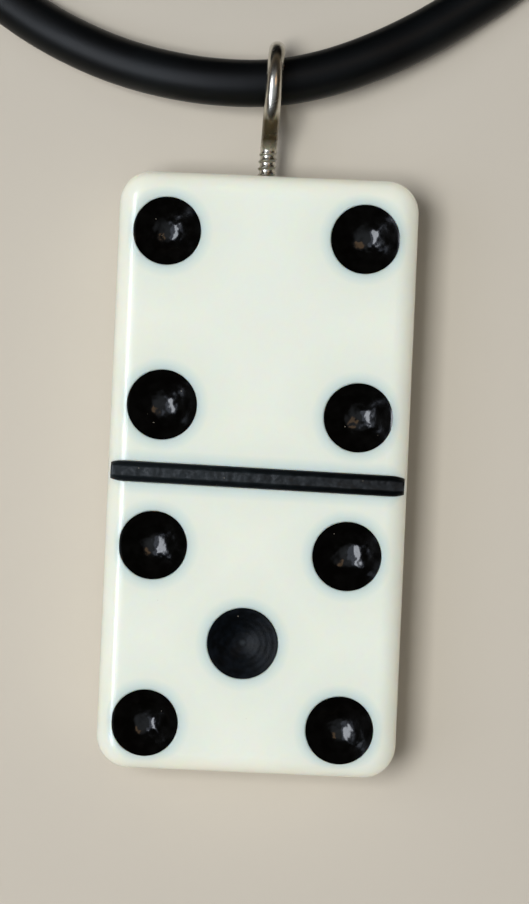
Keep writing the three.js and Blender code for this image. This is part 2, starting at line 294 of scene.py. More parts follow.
def area_light(name, tilt, distance, size, power, colour, shown_in, turn=0):
    """A light tilted from overhead to the left, or turned from there; seen in gloss or matt."""
    data = bpy.data.lights.new(name, "AREA")
    data.shape = "RECTANGLE"
    data.size, data.size_y = size[0] * MM, size[1] * MM
    data.energy = power
    data.color = linear(colour)[:3]
    light = bpy.data.objects.new(name, data)
    light.rotation_euler = (0, math.radians(-tilt), math.radians(ASKEW + turn))
    light.location = light.rotation_euler.to_matrix() @ Vector((0, 0, distance * MM))
    light.visible_glossy = shown_in == "gloss"
    light.visible_diffuse = shown_in == "matt"
    scene.collection.objects.link(light)
    print(name, "at", tuple(round(c, 3) for c in light.location))


area_light("Key", 13, 600, (150, 200), 2.36, "#FCFEFB", "matt")
area_light("Side", 36, 600, (300, 400), 0.55, "#F2F6FF", "matt")
area_light("Window", 36, 500, (150, 480), 1.75, "#F2F8FF", "gloss")
area_light("Blind", 30, 500, (380, 620), 0.6, "#DCE8FF", "gloss")
area_light("Card", 30, 500, (130, 170), 0.14, "#D2A878", "gloss", turn=225)
for turn, power in ((0, 0.45), (90, 1.1), (180, 0.7), (270, 1.4)):
    area_light(f"Bounce {turn}", 84, 700, (120, 600), power, "#FFEEDA", "matt", turn)

# %% The floor and the room
FLOOR_HALF = 2000
floor_corners = [
    (-FLOOR_HALF, -FLOOR_HALF, 0), (FLOOR_HALF, -FLOOR_HALF, 0),
    (FLOOR_HALF, FLOOR_HALF, 0), (-FLOOR_HALF, FLOOR_HALF, 0),
]  # fmt: skip
floor = mesh_piece("floor", floor_corners, [(0, 1, 2, 3)])

room = bpy.data.worlds.new("Room")
room.use_nodes = True
scene.world = room
tree = room.node_tree
tree.nodes.clear()
direction = add(tree, "ShaderNodeTexCoord")
height = add(tree, "ShaderNodeSeparateXYZ", {0: direction.outputs["Generated"]})
dome = add(tree, "ShaderNodeValToRGB", {0: height.outputs["Z"]})
dome.color_ramp.elements[0].color = linear("#6E6454")
dome.color_ramp.elements[1].color = linear("#A6ACB2")
for level, shade in ((0.18, "#5A5144"), (0.34, "#241F19"), (0.68, "#2F2C27")):
    dome.color_ramp.elements.new(level).color = linear(shade)
background = add(tree, "ShaderNodeBackground", {"Color": dome, "Strength": 1.0})
add(tree, "ShaderNodeOutputWorld", {"Surface": background})
print("room lit from the left")

# %% [markdown]
# ## The ivory block
#
# The real tile is cast or moulded in one piece, with its edges and corners rounded over, and then
# drilled. A subdivided cube would need many support loops to keep its faces flat. Here the
# rounding follows a rule instead: the same rounded outline is repeated while it swells and rises.
# One cutter holds the nine bowls, the groove and the screw's hole, so there is one clean cut.

# %% The blank
WIDTH, LENGTH, THICK = 25.0, 49.9, 10.0
CORNER, EDGE = 2.7, 1.8


def outline(swell, around=10):
    """The block's outline, drawn in by the edge's radius and let out again by swell."""
    points = []
    half_x, half_y = WIDTH / 2 - CORNER, LENGTH / 2 - CORNER
    r = CORNER - EDGE + swell
    for quarter, (sx, sy) in enumerate(((1, 1), (-1, 1), (-1, -1), (1, -1))):
        for k in range(around + 1):
            a = math.pi / 2 * (quarter + k / around)
            points.append((sx * half_x + r * math.cos(a), sy * half_y + r * math.sin(a)))
    return points


def stacked(rings):
    """A closed solid from rings of points, each given as (outline, height), from low to high."""
    count = len(rings[0][0])
    points = [(x, y, z) for ring, z in rings for x, y in ring]
    last = len(points) - count
    faces = [tuple(range(count))[::-1], tuple(range(last, last + count))]
    for j in range(len(rings) - 1):
        for i in range(count):
            a, b = j * count + i, j * count + (i + 1) % count
            faces.append((a, b, b + count, a + count))
    return points, faces


EDGE_STEPS = 12
rounding = [math.radians(90 * k / EDGE_STEPS) for k in range(EDGE_STEPS + 1)]
rings = [(outline(EDGE * math.sin(a)), EDGE * (1 - math.cos(a))) for a in rounding]
rings += [(ring, THICK - z) for ring, z in reversed(rings)]
tile_body = mesh_piece("tile_body_moulded", *stacked(rings))
print("blank with", len(tile_body.data.polygons), "faces")

# %% Where the drill went
PIP_DEPTH, PIP_CURVE, FIT = 1.6, 1.8, 0.03
pips = {}
for name in sorted(nodes):
    if name.startswith("pip_"):
        points = [v.co / MM for v in nodes[name].data.vertices]
        deepest = min(points, key=lambda p: p.z)
        near, far = min(p.y for p in points), max(p.y for p in points)
        pips[name] = (deepest.x, (near + far) / 2, (far - near) / 2 + FIT)
        print(name, [round(c, 2) for c in pips[name]])

# %% Shapes for the cutter
GROOVE_TOP, GROOVE_FLOOR, GROOVE_DEPTH = 1.76, 1.3, 1.0
GROOVE_Y, GROOVE_TURN = -0.34, math.radians(-0.84)
EYE_X, EYE_Y, EYE_LEAN = -0.38, 32.35, math.radians(2.5)
LIP = 0.09


def lathe(profile, around=96):
    """A closed solid turned about Z from (radius, height) pairs that start and end on the axis."""
    body = profile[1:-1]
    points = [(0, 0, profile[0][1]), (0, 0, profile[-1][1])]
    for r, z in body:
        for i in range(around):
            a = 2 * math.pi * i / around
            points.append((r * math.cos(a), r * math.sin(a), z))
    faces = []
    for i in range(around):
        j = (i + 1) % around
        faces.append((0, 2 + j, 2 + i))
        top = 2 + (len(body) - 1) * around
        faces.append((1, top + i, top + j))
        for k in range(len(body) - 1):
            a = 2 + k * around
            faces.append((a + i, a + j, a + around + j, a + around + i))
    return points, faces


def bowl_profile(radius, steps=20):
    """Up the drilled bowl from its bottom, and out over a rim that is worn just round."""
    bowl = []
    for k in range(steps):
        share = k / steps
        bowl.append((radius * share, -PIP_DEPTH * (1 - share**PIP_CURVE)))
    for k in range(5):
        a = math.radians(90 * k / 4)
        bowl.append((radius + LIP * (1 - math.cos(a)), -LIP + LIP * math.sin(a)))
    return [*bowl, (radius + LIP, 1.0), (0, 1.0)]


def extruded(section, x0, x1):
    """A closed bar along X from a section of (y, z) points."""
    count = len(section)
    points = [(x, y, z) for x in (x0, x1) for y, z in section]
    faces = [tuple(range(count)), tuple(range(2 * count - 1, count - 1, -1))]
    for i in range(count):
        j = (i + 1) % count
        faces.append((j, i, i + count, j + count))
    return points, faces


print("bowl of", len(bowl_profile(2.94)), "points from its bottom out")

# %% The cutter
lean = (
    Matrix.Translation((EYE_X, LENGTH / 2, THICK / 2))
    @ Matrix.Rotation(-EYE_LEAN, 4, "Z")
    @ Matrix.Translation((0, -LENGTH / 2, 0))
)
upright_to_y = Matrix.Rotation(math.radians(-90), 4, "X")
groove_place = Matrix.Translation((0, GROOVE_Y, THICK)) @ Matrix.Rotation(GROOVE_TURN, 4, "Z")
half_top, half_floor = GROOVE_TOP / 2, GROOVE_FLOOR / 2
groove_section = [
    (-half_top - LIP, 1), (half_top + LIP, 1), (half_top + LIP, 0), (half_top, -LIP),
    (half_floor, -GROOVE_DEPTH), (-half_floor, -GROOVE_DEPTH), (-half_top, -LIP),
    (-half_top - LIP, 0),
]  # fmt: skip
shapes = [
    (lathe(bowl_profile(radius)), Matrix.Translation((x, y, THICK)))
    for x, y, radius in pips.values()
]
past_side = WIDTH / 2 + 2
shapes.append((extruded(groove_section, -past_side, past_side), groove_place))
HOLE_R, HOLE_DEEP = 0.92, 7.5
past_end = HOLE_DEEP + 0.8
hole = [(0, 0), (HOLE_R, 0), (HOLE_R, HOLE_DEEP + 0.5), (1.1, past_end), (0, past_end)]
hole_place = lean @ Matrix.Translation((0, LENGTH / 2 - HOLE_DEEP, 0)) @ upright_to_y
shapes.append((lathe(hole, 32), hole_place))
points, faces = [], []
for (shape_points, shape_faces), place in shapes:
    faces += [tuple(i + len(points) for i in face) for face in shape_faces]
    points += [place @ Vector(p) for p in shape_points]
cutter = mesh_piece("cutter", points, faces)
print("cutter of", len(shapes), "shapes")

# %% Drilling the block
faces_out(cutter)
faces_out(tile_body)
cut = tile_body.modifiers.new("Cut", "BOOLEAN")
cut.operation, cut.solver, cut.object = "DIFFERENCE", "EXACT", cutter
settle(tile_body, sharp=28)
flat_faces(tile_body)
bpy.data.objects.remove(cutter)
print("drilled block with", len(tile_body.data.polygons), "faces")

# %% [markdown]
# ## The pips' enamel
#
# Each bowl is filled with a drop of black enamel, which clings to the wall, pools at the bottom and
# dries with slight ripples. That is the same shape nine times over with small differences, so one
# Geometry Nodes tree makes them all. It starts from a closed drum whose two ends are fans of rings,
# and bends the upper end into the pooled surface and the lower end into the bowl. The rule is a
# table of small sums, which is easier to follow than a drawing of the tree: each row names a
# result, the operation and what goes in, and X, Y and Z are where the point ends up. The sums are
# in millimetres, and the tree scales the result. The screw's thread is a second such table.

# %% A tree from a table of sums


def drum_tree(title, sizes, rings, clouds, sums):
    """A tree that bends a drum by a table of sums; returns it and its inputs' identifiers."""
    tree = bpy.data.node_groups.new(title, "GeometryNodeTree")
    face = tree.interface
    face.new_socket("Geometry", in_out="OUTPUT", socket_type="NodeSocketGeometry")
    inputs = {}
    for size, start in sizes:
        socket = face.new_socket(size, in_out="INPUT", socket_type="NodeSocketFloat")
        socket.default_value = start
        inputs[size] = socket.identifier
    socket = face.new_socket("Material", in_out="INPUT", socket_type="NodeSocketMaterial")
    inputs["Material"] = socket.identifier
    face.new_socket("Geometry", in_out="INPUT", socket_type="NodeSocketGeometry")
    given = add(tree, "NodeGroupInput")
    drum = add(
        tree,
        "GeometryNodeMeshCylinder",
        {**rings, "Radius": 1.0, "Depth": 1.0},
        fill_type="TRIANGLE_FAN",
    )
    place = add(tree, "ShaderNodeSeparateXYZ", {0: add(tree, "GeometryNodeInputPosition")})
    known = {"x": place.outputs["X"], "y": place.outputs["Y"], "up": place.outputs["Z"]}
    known.update({size: given.outputs[size] for size, _ in sizes})
    for cloud, grain in clouds:
        flat = {"X": known["x"], "Y": known["y"], "Z": known["Seed"]}
        seeded = add(tree, "ShaderNodeCombineXYZ", flat)
        noisy = add(tree, "ShaderNodeTexNoise", {"Vector": seeded, "Scale": grain, "Detail": 2.0})
        known[cloud] = noisy.outputs["Fac"]
    for result, operation, *parts in sums:
        values = {k: known.get(part, part) for k, part in enumerate(parts)}
        known[result] = add(tree, "ShaderNodeMath", values, operation=operation)
    moved = add(tree, "ShaderNodeCombineXYZ", {axis: known[axis] for axis in "XYZ"})
    shaped = add(
        tree, "GeometryNodeSetPosition", {"Geometry": drum.outputs["Mesh"], "Position": moved}
    )
    scaled = add(tree, "GeometryNodeTransform", {"Geometry": shaped, "Scale": (MM, MM, MM)})
    real = add(tree, "GeometryNodeRealizeInstances", {"Geometry": scaled})
    finish = {"Geometry": real, "Material": given.outputs["Material"]}
    add(tree, "NodeGroupOutput", {"Geometry": add(tree, "GeometryNodeSetMaterial", finish)})
    print(title, "tree of", len(tree.nodes), "nodes")
    return tree, inputs


def from_tree(name, tree, inputs, sharp):
    """A plain mesh made by a Geometry Nodes tree with the inputs given by identifier."""
    piece = mesh_piece(name, [], [])
    modifier = piece.modifiers.new("Shape", "NODES")
    modifier.node_group = tree
    for identifier, value in inputs.items():
        modifier[identifier] = value
    return settle(piece, sharp)


# %% The enamel tree
UNDERLAP = 0.12
ENAMEL_SUMS = [
    ("xx", "MULTIPLY", "x", "x"),
    ("yy", "MULTIPLY", "y", "y"),
    ("both", "ADD", "xx", "yy"),
    ("share", "SQRT", "both"),
    # how wide it is: the rim wanders by a few hundredths
    ("rim off", "SUBTRACT", "rim noise", 0.5),
    ("rim", "MULTIPLY", "rim off", "Wander"),
    ("reach", "ADD", "Radius", "rim"),
    ("px", "MULTIPLY", "x", "reach"),
    ("py", "MULTIPLY", "y", "reach"),
    ("X", "ADD", "px", "Centre X"),
    ("Y", "ADD", "py", "Centre Y"),
    # the underside follows the bowl
    ("bowl power", "POWER", "share", PIP_CURVE),
    ("bowl less", "SUBTRACT", "bowl power", 1.0),
    ("under", "MULTIPLY", "bowl less", PIP_DEPTH - FIT),
    # the upper side is steeper near the middle, and levels out where it pools
    ("wall power", "POWER", "share", 1.3),
    ("wall less", "SUBTRACT", "wall power", 1.0),
    ("wall", "MULTIPLY", "wall less", PIP_DEPTH),
    ("four", "MULTIPLY", "both", "both"),
    ("clear", "SUBTRACT", 1.0, "four"),
    ("clinging", "MULTIPLY", "clear", "Film"),
    ("film up", "ADD", "wall", "clinging"),
    ("pool level", "ADD", "Pool", -PIP_DEPTH),
    ("sits", "SUBTRACT", "film up", FIT),
    ("pooled", "SMOOTH_MAX", "sits", "pool level", 0.55),
    ("noise off", "SUBTRACT", "ripple noise", 0.5),
    ("inner", "SUBTRACT", 1.0, "both"),
    ("fading", "MULTIPLY", "noise off", "inner"),
    ("wave", "MULTIPLY", "fading", "Ripple"),
    ("rippled", "ADD", "pooled", "wave"),
    ("over", "MINIMUM", "rippled", -FIT),
    # which end of the drum this point is on
    ("top", "GREATER_THAN", "up", 0.0),
    ("apart", "SUBTRACT", "over", "under"),
    ("step", "MULTIPLY", "apart", "top"),
    ("depth", "ADD", "under", "step"),
    # the lower end is sunk a little, so that the paint's edge has thickness
    ("bottom", "SUBTRACT", 1.0, "top"),
    ("lapped", "MULTIPLY", "bottom", UNDERLAP),
    ("sunk", "SUBTRACT", "depth", "lapped"),
    # where a bowl runs over the block's rounded edge, the paint stays below its surface
    ("aside", "ABSOLUTE", "X"),
    ("past", "SUBTRACT", "aside", WIDTH / 2 - EDGE),
    ("out", "MAXIMUM", "past", 0.0),
    ("out two", "MULTIPLY", "out", "out"),
    ("left two", "SUBTRACT", EDGE * EDGE, "out two"),
    ("rise", "SQRT", "left two"),
    ("surface", "ADD", "rise", -EDGE - FIT),
    ("low", "MINIMUM", "sunk", "surface"),
    ("Z", "ADD", "low", THICK),
]
enamel_tree, enamel_inputs = drum_tree(
    "Pooled enamel",
    [
        ("Radius", 2.94), ("Centre X", 0.0), ("Centre Y", 0.0), ("Ripple", 0.04), ("Seed", 0.0),
        ("Film", 0.12), ("Pool", 0.42), ("Wander", 0.03),
    ],
    {"Vertices": 96, "Side Segments": 1, "Fill Segments": 26},
    [("rim noise", 1.6), ("ripple noise", 2.1)],
    ENAMEL_SUMS,
)  # fmt: skip

# %% [markdown]
# ## Black enamel
#
# Alkyd enamel, brushed or dripped into each pip. It dries to a hard gloss, so it is nearly black
# with small bright reflections, and it catches pale specks of lint and dust. The middle pip of the
# lower half was left rougher, so it is satin and greyer, and the drill's rings show through, with a
# paler dot at their centre. Specks are a Voronoi pattern: only the very middle of a few cells is
# picked out, which gives dots of about 0.1 mm. The real rings are finer than can show, so they are
# drawn half a millimetre apart.

# %% A material and what it is mixed from


def material(name, base, roughness, **sockets):
    """A new material; returns it, its tree and its shader."""
    made = bpy.data.materials.new(name)
    made.use_nodes = True
    shader = made.node_tree.nodes["Principled BSDF"]
    shader.inputs["Base Color"].default_value = linear(base)
    shader.inputs["Roughness"].default_value = roughness
    for title, value in sockets.items():
        shader.inputs[title.replace("_", " ")].default_value = value
    made.diffuse_color = linear(base)
    return made, made.node_tree, shader


def mixed(tree, share, low, high):
    """One colour or socket over another by share."""
    node = add(tree, "ShaderNodeMix", {0: share}, data_type="RGBA")
    for socket, value in ((6, low), (7, high)):
        if isinstance(value, str):
            node.inputs[socket].default_value = linear(value)
        else:
            tree.links.new(value, node.inputs[socket])
    return node.outputs[2]


def dust(tree, where, cell, size, share):
    """1 on specks of the given size in mm, one to a cell, in that share of the cells."""
    cells = add(tree, "ShaderNodeTexVoronoi", {"Vector": where, "Scale": 1 / (cell * MM)})
    speck = add(
        tree,
        "ShaderNodeMapRange",
        {
            "Value": cells.outputs["Distance"],
            "From Min": size / cell / 2,
            "From Max": size / cell / 3,
        },
    )
    pick = add(tree, "ShaderNodeSeparateColor", {0: cells.outputs["Color"]})
    chosen = add(tree, "ShaderNodeMath", {0: pick, 1: 1 - share}, operation="GREATER_THAN")
    return add(tree, "ShaderNodeMath", {0: speck, 1: chosen}, operation="MULTIPLY").outputs[0]


print("material, mixed and dust are ready")

# %% Black paint
RELIEF = 0.02
LINT_CELL, LINT_SIZE = 0.55, 0.11
RING_SPACING, RING_SHARE = 0.5, 0.35
DOT_EDGE, DOT_CORE = 0.32, 0.1


def black_paint(
    name, deep, pale, roughness, grain, bump, specks, shine=0.5, greyer_to_left=False, drilled_at=None
):
    """Black paint, greyer in patches of the given size in mm; drilled_at is where rings centre."""
    paint, tree, shader = material(name, deep, roughness[0], Specular_IOR_Level=shine)
    where = add(tree, "ShaderNodeTexCoord").outputs["Object"]
    patches = add(
        tree, "ShaderNodeTexNoise", {"Vector": where, "Scale": 1 / (grain * MM), "Detail": 3.0}
    )
    uneven = add(
        tree, "ShaderNodeMapRange", {"Value": patches, "From Min": 0.42, "From Max": 0.68}
    )
    grey = uneven
    # greyer towards the left, from X = 13 mm to X = -12 mm
    if greyer_to_left:
        side = add(tree, "ShaderNodeSeparateXYZ", {0: where})
        left = add(
            tree,
            "ShaderNodeMapRange",
            {"Value": side.outputs["X"], "From Min": 13 * MM, "From Max": -12 * MM},
        )
        grey = add(tree, "ShaderNodeMath", {0: uneven, 1: left, 2: left}, operation="MULTIPLY_ADD")
    speck = dust(tree, where, LINT_CELL, LINT_SIZE, specks)
    colour = mixed(tree, speck, mixed(tree, grey.outputs[0], deep, pale), "#8C8478")
    rough = add(
        tree,
        "ShaderNodeMapRange",
        {"Value": patches, "To Min": roughness[0], "To Max": roughness[1]},
    )
    tree.links.new(rough.outputs[0], shader.inputs["Roughness"])
    fine = add(
        tree, "ShaderNodeTexNoise", {"Vector": where, "Scale": 1 / (0.3 * MM), "Detail": 2.0}
    )
    height = add(tree, "ShaderNodeMath", {0: speck, 1: fine}, operation="ADD")
    if drilled_at:
        x, y = drilled_at
        plan = add(tree, "ShaderNodeVectorMath", {0: where, 1: (1, 1, 0)}, operation="MULTIPLY")
        off = add(
            tree, "ShaderNodeVectorMath", {0: plan, 1: (x * MM, y * MM, 0)}, operation="DISTANCE"
        )
        angle = add(
            tree,
            "ShaderNodeMath",
            {0: off.outputs["Value"], 1: 2 * math.pi / (RING_SPACING * MM)},
            operation="MULTIPLY",
        )
        ridge = add(tree, "ShaderNodeMath", {0: angle}, operation="SINE")
        height = add(
            tree, "ShaderNodeMath", {0: ridge, 1: RING_SHARE, 2: height}, operation="MULTIPLY_ADD"
        )
        # a paler dot where the rings centre
        point = add(
            tree,
            "ShaderNodeMapRange",
            {"Value": off.outputs["Value"], "From Min": DOT_EDGE * MM, "From Max": DOT_CORE * MM},
        )
        colour = mixed(tree, point.outputs[0], colour, "#24282C")
    tree.links.new(colour, shader.inputs["Base Color"])
    relief = add(
        tree, "ShaderNodeBump", {"Height": height, "Strength": bump, "Distance": RELIEF * MM}
    )
    tree.links.new(relief.outputs[0], shader.inputs["Normal"])
    return paint


gloss_enamel = black_paint(
    "Alkyd_enamel_gloss_black",
    "#010101",
    "#060606",
    (0.06, 0.2),
    grain=0.9,
    bump=0.3,
    specks=0.1,
)
satin_enamel = black_paint(
    "Alkyd_enamel_satin_black",
    "#020406",
    "#0A0F15",
    (0.4, 0.55),
    grain=0.7,
    bump=0.6,
    specks=0.06,
    shine=0.17,
    drilled_at=pips["pip_lower_3"][:2],
)
groove_paint = black_paint(
    "Matt_paint_in_the_groove",
    "#030405",
    "#1A1F22",
    (0.3, 0.5),
    grain=0.8,
    bump=0.8,
    specks=0.12,
    shine=0.34,
    greyer_to_left=True,
)
print("three black paints")

# %% The nine enamels
pip_pieces = []
for number, (name, (x, y, radius)) in enumerate(pips.items()):
    matt = name == "pip_lower_3"
    inputs = {
        "Radius": radius - FIT,
        "Centre X": x,
        "Centre Y": y,
        "Seed": 3.7 * number + 1.3,
        "Ripple": 0.05 if matt else 0.3,
        "Pool": 0.3,
        "Material": satin_enamel if matt else gloss_enamel,
    }
    inputs = {enamel_inputs[title]: value for title, value in inputs.items()}
    piece = from_tree(name.replace("pip", "enamel"), enamel_tree, inputs, sharp=50)
    pip_pieces.append((piece, name))
print("enamels of", len(pip_pieces[0][0].data.polygons), "faces each")

# %% [markdown]
# ## The painted groove
#
# The groove across the middle is milled with a flat floor and leaning walls, then painted like the
# pips but duller, with brush blotches on the floor. The paint is a closed trough: one section with
# rounded inner corners, repeated along the groove and held below the block's rounded edge.

# %% Divider paint
PAINT = 0.14


def groove_paint_section():
    """Round the trough: up the outside from one lip to the other, and back along the inside."""
    outside = [
        (-half_top + FIT, -0.12), (-half_floor + FIT, -GROOVE_DEPTH + FIT),
        (half_floor - FIT, -GROOVE_DEPTH + FIT), (half_top - FIT, -0.12),
    ]  # fmt: skip
    inside = []
    for k in range(25):
        share = -1 + 2 * k / 24
        bend = max(0.0, abs(share) - 0.62) / 0.38
        y = -share * (half_floor - 0.1 + 0.22 * bend)
        inside.append((y, -GROOVE_DEPTH + PAINT + (GROOVE_DEPTH - PAINT - 0.13) * bend**2.2))
    return outside + inside


section = groove_paint_section()
rows = 240
points = []
for j in range(rows + 1):
    x = -12.27 + 24.54 * j / rows
    past = max(0.0, abs(x) - (WIDTH / 2 - EDGE))
    surface = -EDGE + math.sqrt(EDGE**2 - past**2) - 0.05
    for k, (y, z) in enumerate(section):
        blotch = 0.05 * noise.noise(Vector((1.3 * x, 1.9 * y, 0.0)))
        blotch += 0.022 * noise.noise(Vector((3.1 * x, 4.3 * y, 5.0)))
        z = z + blotch if 6 < k < 26 else z
        points.append((x, y, min(z, surface)))
count = len(section)
faces = [tuple(range(count)), tuple(range(len(points) - 1, len(points) - count - 1, -1))]
for j in range(rows):
    for i in range(count):
        a, b = j * count + i, j * count + (i + 1) % count
        faces.append((b, a, a + count, b + count))
divider = mesh_piece("divider_enamel", points, faces, groove_place)
faces_out(divider)
divider.data.materials.append(groove_paint)
settle(divider, sharp=50)
print("divider of", len(divider.data.polygons), "faces")

# %% [markdown]
# ## Ivory-coloured plastic
#
# Urea-formaldehyde moulding, or a cast resin like it, polished by tumbling. It is a little
# translucent, so light sinks in and the black paint swallows it, which leaves the plastic cool and
# greenish near the paint. That is painted shade in the colour, worked out from the distance to the
# nearest pip's rim and to the groove, in millimetres; it fades below the face, so it follows every
# drilled edge. Tumbling leaves a soft gloss with faint waviness.

# %% How far from the paint
ivory, tree, shader = material(
    "Urea_moulding_ivory",
    "#F6F5E8",
    0.2,
    IOR=1.52,
    Subsurface_Weight=0.6,
    Subsurface_Scale=1.3 * MM,
    Subsurface_Radius=(1.0, 0.8, 0.6),
)
where = add(tree, "ShaderNodeTexCoord").outputs["Object"]
plan = add(
    tree, "ShaderNodeVectorMath", {0: where, 1: (1 / MM, 1 / MM, 0)}, operation="MULTIPLY"
)
nearest = None
for x, y, radius in pips.values():
    off = add(tree, "ShaderNodeVectorMath", {0: plan, 1: (x, y, 0)}, operation="DISTANCE")
    edge = add(tree, "ShaderNodeMath", {0: off.outputs["Value"], 1: radius}, operation="SUBTRACT")
    if nearest is not None:
        edge = add(tree, "ShaderNodeMath", {0: nearest, 1: edge}, operation="MINIMUM")
    nearest = edge
turned = add(
    tree,
    "ShaderNodeMapping",
    {"Vector": plan, "Location": (0, -GROOVE_Y, 0), "Rotation": (0, 0, -GROOVE_TURN)},
)
across = add(tree, "ShaderNodeSeparateXYZ", {0: turned})
beside = add(tree, "ShaderNodeMath", {0: across.outputs["Y"]}, operation="ABSOLUTE")
beyond = add(tree, "ShaderNodeMath", {0: beside, 1: half_top}, operation="SUBTRACT")
nearest = add(
    tree, "ShaderNodeMath", {0: nearest, 1: beyond, 2: 0.5}, operation="SMOOTH_MIN"
)
level = add(tree, "ShaderNodeSeparateXYZ", {0: where})
down = add(
    tree,
    "ShaderNodeMapRange",
    {"Value": level.outputs["Z"], "From Min": THICK * MM, "From Max": 0.0, "To Max": 1.5 * THICK},
)
nearest = add(tree, "ShaderNodeMath", {0: nearest, 1: down}, operation="ADD")
print("distance to paint worked out in", len(tree.nodes), "nodes")

# %% The ivory's colour and gloss
# painted shade: cool greenish darkening near the pips and the groove, by distance to the paint
shadow = add(tree, "ShaderNodeValToRGB", {0: nearest})
ramp = shadow.color_ramp
ramp.elements[0].position, ramp.elements[0].color = 0.0, linear("#CFDEDB")
ramp.elements[1].position, ramp.elements[1].color = 1.0, linear("#EDF2E8")
ramp.elements.new(0.45).color = linear("#DFEAE4")
wide = add(tree, "ShaderNodeMapRange", {"Value": nearest, "From Min": 1.0, "From Max": 4.2})
cast = add(
    tree, "ShaderNodeTexNoise", {"Vector": where, "Scale": 1 / (14 * MM), "Detail": 2.0}
)
body = mixed(tree, cast.outputs["Fac"], "#F5F8EA", "#EEF5ED")
body = mixed(tree, wide.outputs[0], shadow.outputs[0], body)
grit = dust(tree, where, 1.3, 0.1, 0.12)
grit_soft = add(tree, "ShaderNodeMath", {0: grit, 1: 0.25}, operation="MULTIPLY")
tree.links.new(mixed(tree, grit_soft, body, "#A89C88"), shader.inputs["Base Color"])
scuffs = add(
    tree,
    "ShaderNodeTexNoise",
    {"Vector": where, "Scale": 1 / (2.5 * MM), "Detail": 5.0, "Roughness": 0.7},
)
worn = add(tree, "ShaderNodeMapRange", {"Value": scuffs, "To Min": 0.1, "To Max": 0.24})
tree.links.new(worn.outputs[0], shader.inputs["Roughness"])
waves = add(
    tree, "ShaderNodeTexNoise", {"Vector": where, "Scale": 1 / (5 * MM), "Detail": 1.0}
)
relief = add(
    tree, "ShaderNodeBump", {"Height": waves, "Strength": 0.25, "Distance": 0.05 * MM}
)
tree.links.new(relief.outputs[0], shader.inputs["Normal"])
tile_body.data.materials.clear()
tile_body.data.materials.append(ivory)
print("ivory material of", len(tree.nodes), "nodes")

# %% [markdown]
# ## The screw eye
#
# A screw eye is one piece of steel wire: the thread is rolled on one end, and the rest is bent into
# a loop. The threaded end repeats along its length, so the second table of sums bends the side of a
# drum into a helix, with a radius that rises and falls with the angle and the height. The loop is a
# tube swept along its own bent line, which starts inside the shank.

# %% Thread tree
THREAD_SUMS = [
    ("part", "ADD", "up", 0.5),
    ("Z", "MULTIPLY", "part", "Long"),
    ("angle", "ARCTAN2", "y", "x"),
    ("turn", "DIVIDE", "angle", 2 * math.pi),
    ("climb", "DIVIDE", "Z", "Pitch"),
    ("phase", "SUBTRACT", "climb", "turn"),
    ("in turn", "FRACT", "phase"),
    ("off", "SUBTRACT", "in turn", 0.5),
    ("away", "ABSOLUTE", "off"),
    ("slope", "MULTIPLY", "away", -3.2),
    ("ridge", "ADD", "slope", 1.0),
    ("crest", "SMOOTH_MAX", "ridge", 0.0, 0.2),
    ("thread", "SUBTRACT", "Crest", "Root"),
    # the thread dies out below the neck
    ("to neck", "SUBTRACT", "Long", "Z"),
    ("fade", "MULTIPLY", "to neck", 0.9),
    ("run out", "MINIMUM", "fade", 1.0),
    ("lift", "MULTIPLY", "crest", "thread"),
    ("lifted", "MULTIPLY", "lift", "run out"),
    ("grown", "ADD", "Root", "lifted"),
    ("swell", "SUBTRACT", 1.0, "run out"),
    ("neck", "MULTIPLY", "swell", 0.055),
    ("wide", "ADD", "grown", "neck"),
    # and the tip is a blunt point
    ("near tip", "DIVIDE", "Z", "Tip"),
    ("cone", "MULTIPLY", "near tip", 0.85),
    ("blunt", "ADD", "cone", 0.15),
    ("taper", "MINIMUM", "blunt", 1.0),
    ("r", "MULTIPLY", "wide", "taper"),
    ("X", "MULTIPLY", "x", "r"),
    ("Y", "MULTIPLY", "y", "r"),
]
thread_tree, thread_inputs = drum_tree(
    "Rolled thread",
    [("Root", 0.64), ("Crest", 0.8), ("Pitch", 0.6), ("Tip", 1.4), ("Long", 10.0)],
    {"Vertices": 36, "Side Segments": 230, "Fill Segments": 4},
    [],
    THREAD_SUMS,
)

# %% [markdown]
# ## Metals
#
# The eye is bright nickel on steel wire, drawn smooth. Its reflections are sharp but wobble along
# the wire, because the bending marks it. Just above the thread its colour is painted a darker
# olive brown: painted shade for the dim reflection of the shaded floor there. The end caps are
# brushed stainless steel. The rings and the clasp are bright-plated like the eye. All of them keep
# the default IOR, because a metal's reflection comes from its colour.

# %% Metal materials
SHADE_FADE = 0.8


